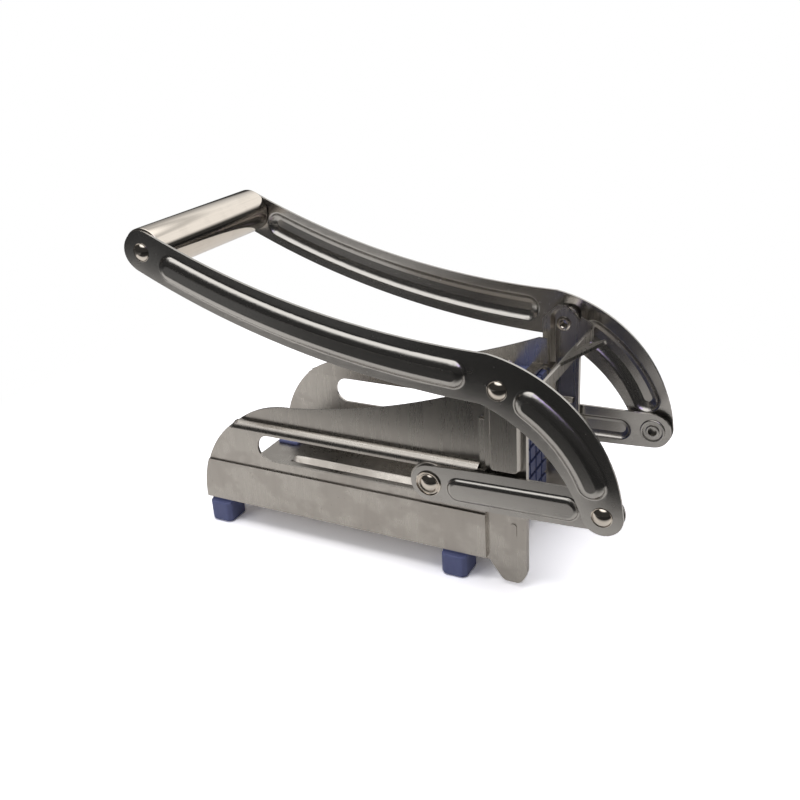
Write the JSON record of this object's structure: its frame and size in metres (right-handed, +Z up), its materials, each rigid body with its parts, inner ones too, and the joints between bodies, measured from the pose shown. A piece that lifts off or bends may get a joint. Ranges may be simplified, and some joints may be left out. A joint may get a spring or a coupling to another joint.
{
  "type": "vegetable dicer",
  "caption": "Lever potato chipper: a sheet-steel trough with a sliding pegged pusher that a long two-armed lever drives through a square blade grid.",
  "frame": {"origin": "centre of the outline's box on the surface that the feet stand on", "axes": "+X from the grip towards the blades, +Y towards the right-hand arm, +Z up"},
  "size_m": [0.2728, 0.1056, 0.1735],
  "materials": {
    "brushed_sheet": "brushed stainless sheet, warm grey",
    "arm_steel": "bright pressed stainless sheet",
    "polished_steel": "polished steel",
    "blade_steel": "ground steel strip",
    "foot_plastic": "satin slate-blue plastic",
    "grip_plug": "dark plastic plug",
    "pusher_plastic": "pale blue moulded plastic"
  },
  "bodies": {
    "base": {"base_tray": "brushed_sheet", "left_side_wall": "brushed_sheet", "right_side_wall": "brushed_sheet", "front_frame": "brushed_sheet", "cassette_frame": "brushed_sheet", "upright_blades": "blade_steel", "cross_blades": "blade_steel", "rear_feet": "foot_plastic", "front_feet": "foot_plastic", "pivot_rivets": "polished_steel", "pivot_washers": "brushed_sheet"},
    "handle": {"left_lever_arm": "arm_steel", "right_lever_arm": "arm_steel", "grip_tube": "polished_steel", "grip_tie_rod": "polished_steel", "grip_caps": "grip_plug", "front_rivets": "polished_steel"},
    "pusher": {"pusher_block": "pusher_plastic", "pusher_carriage": "brushed_sheet", "pusher_axle": "polished_steel", "rollers": "brushed_sheet"},
    "left_linkage": {"left_link": "arm_steel", "left_link_eyelet": "brushed_sheet"},
    "right_linkage": {"right_link": "arm_steel", "right_link_eyelet": "brushed_sheet"}
  },
  "joints": [
    {"name": "handle_lift", "type": "hinge", "parent": "base", "child": "handle", "pos_m": [0.0761, 0, 0.1105], "axis": [0, 1, 0], "range_deg": [0, 82]},
    {"name": "pusher_slide", "type": "slide", "parent": "base", "child": "pusher", "axis": [1, 0, 0], "range_m": [-0.0986, 0]},
    {"name": "left_link_swing", "type": "hinge", "parent": "pusher", "child": "left_linkage", "pos_m": [0.0365, -0.046, 0.0525], "axis": [0, 1, 0], "range_deg": [-0.2, 1.4]},
    {"name": "right_link_swing", "type": "hinge", "parent": "pusher", "child": "right_linkage", "pos_m": [0.0365, 0.046, 0.0525], "axis": [0, 1, 0], "range_deg": [-0.2, 1.4]}
  ],
  "couplings": [
    {"joint": "pusher_slide", "follows": "handle_lift", "m_per_rad": -0.06888},
    {"joint": "left_link_swing", "follows": "handle_lift", "ratio": 0.013686},
    {"joint": "right_link_swing", "follows": "handle_lift", "ratio": 0.013686}
  ]
}
